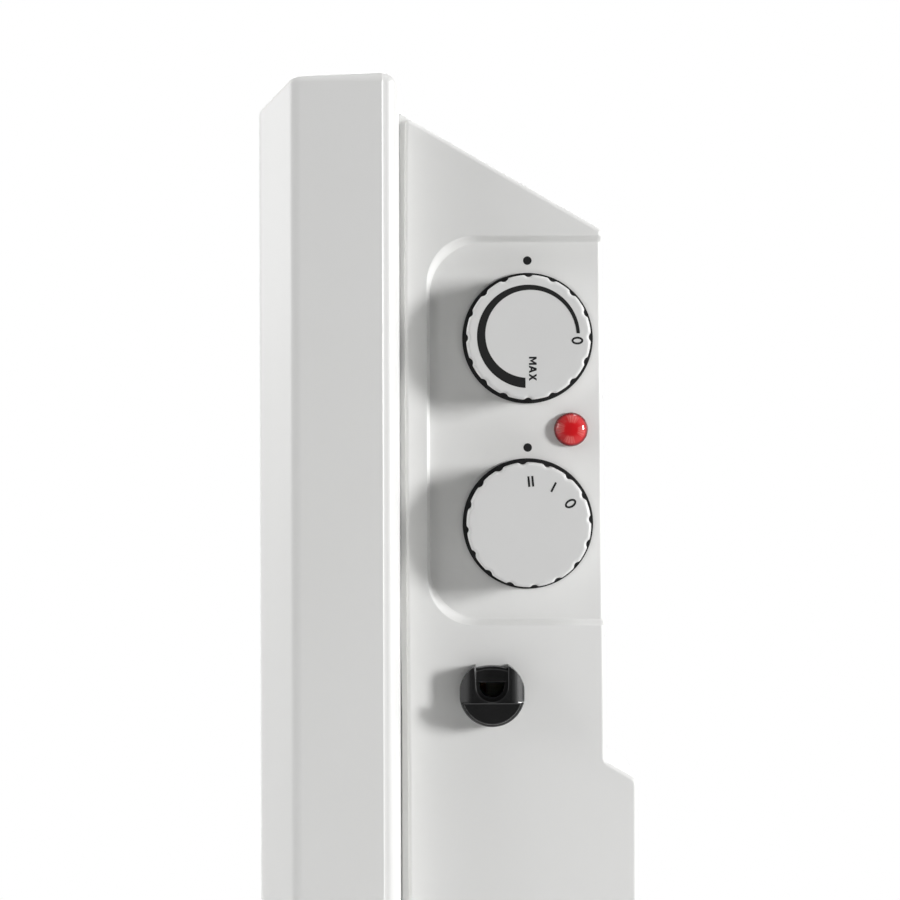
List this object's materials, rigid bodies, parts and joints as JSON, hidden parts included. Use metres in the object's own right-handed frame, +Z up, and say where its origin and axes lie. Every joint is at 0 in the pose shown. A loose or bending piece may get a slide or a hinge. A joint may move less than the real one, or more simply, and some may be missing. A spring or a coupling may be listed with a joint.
{
  "type": "convector heater",
  "caption": "Slim electric convector heater: chamfered steel front, sloped rear casing, side thermostat and power knobs, indicator lamp, cord relief and two feet.",
  "frame": {"origin": "middle of the bounding box, on the floor under the feet", "axes": "+X to the heater's control end, along its width; +Y to the back, through its depth; +Z up"},
  "size_m": [0.64, 0.22, 0.451],
  "materials": {
    "enamelled_steel": "satin powder coat on pressed steel",
    "white_polymer": "moulded ABS, satin",
    "moulded_casing": "moulded ABS, satin",
    "knob_polymer": "moulded ABS, satin face",
    "zinc_steel": "zinc-plated sheet",
    "element_steel": "heat-tinted stainless tube",
    "shaft_steel": "turned steel",
    "screw_steel": "zinc-plated screws",
    "cast_fins": "plain extruded aluminium",
    "ceramic": "fired steatite",
    "black_nylon": "moulded phenolic and nylon",
    "relief_nylon": "glossy moulded nylon",
    "collar_black": "moulded ABS, satin",
    "terminal_polymer": "moulded polyamide",
    "bulb_copper": "drawn copper",
    "lens_red": "clear red acrylic",
    "lamp_glass": "drawn glass",
    "lead_brown": "silicone insulation",
    "lead_red": "silicone insulation",
    "pad_rubber": "moulded rubber"
  },
  "bodies": {
    "casing": {"front_panel": "enamelled_steel", "outlet_grille": "white_polymer", "rear_panel": "enamelled_steel", "base_grille": "enamelled_steel", "right_end_cap": "moulded_casing", "left_end_cap": "moulded_casing", "right_bracket": "zinc_steel", "left_bracket": "zinc_steel", "front_shield": "zinc_steel", "rear_shield": "zinc_steel", "element_fins_front": "cast_fins", "element_fins_rear": "cast_fins", "heater_rods": "element_steel", "rod_insulators": "ceramic", "thermal_cutout": "black_nylon", "terminal_block": "terminal_polymer", "control_plate": "zinc_steel", "control_screws": "screw_steel", "thermostat_body": "black_nylon", "thermostat_collar": "collar_black", "thermostat_bulb": "bulb_copper", "bulb_clips": "zinc_steel", "switch_body": "black_nylon", "switch_collar": "collar_black", "lamp_lens": "lens_red", "lamp_bulb": "lamp_glass", "lamp_clip": "zinc_steel", "strain_relief_body": "relief_nylon", "strain_relief_clamp": "relief_nylon", "supply_leads": "lead_brown", "element_leads": "lead_red", "rear_screws": "screw_steel", "bracket_screws": "screw_steel", "right_foot": "white_polymer", "left_foot": "white_polymer", "foot_pads": "pad_rubber", "foot_screws": "screw_steel"},
    "thermostat_dial": {"thermostat_knob": "knob_polymer", "thermostat_shaft": "shaft_steel"},
    "switch_dial": {"switch_knob": "knob_polymer", "switch_shaft": "shaft_steel"}
  },
  "joints": [
    {"name": "thermostat_turn", "type": "hinge", "parent": "casing", "child": "thermostat_dial", "pos_m": [0.305, 0.0233, 0.3741], "axis": [1, 0, 0], "range_deg": [-180, 92]},
    {"name": "switch_turn", "type": "hinge", "parent": "casing", "child": "switch_dial", "pos_m": [0.305, 0.0233, 0.3197], "axis": [1, 0, 0], "range_deg": [0, 62]}
  ]
}
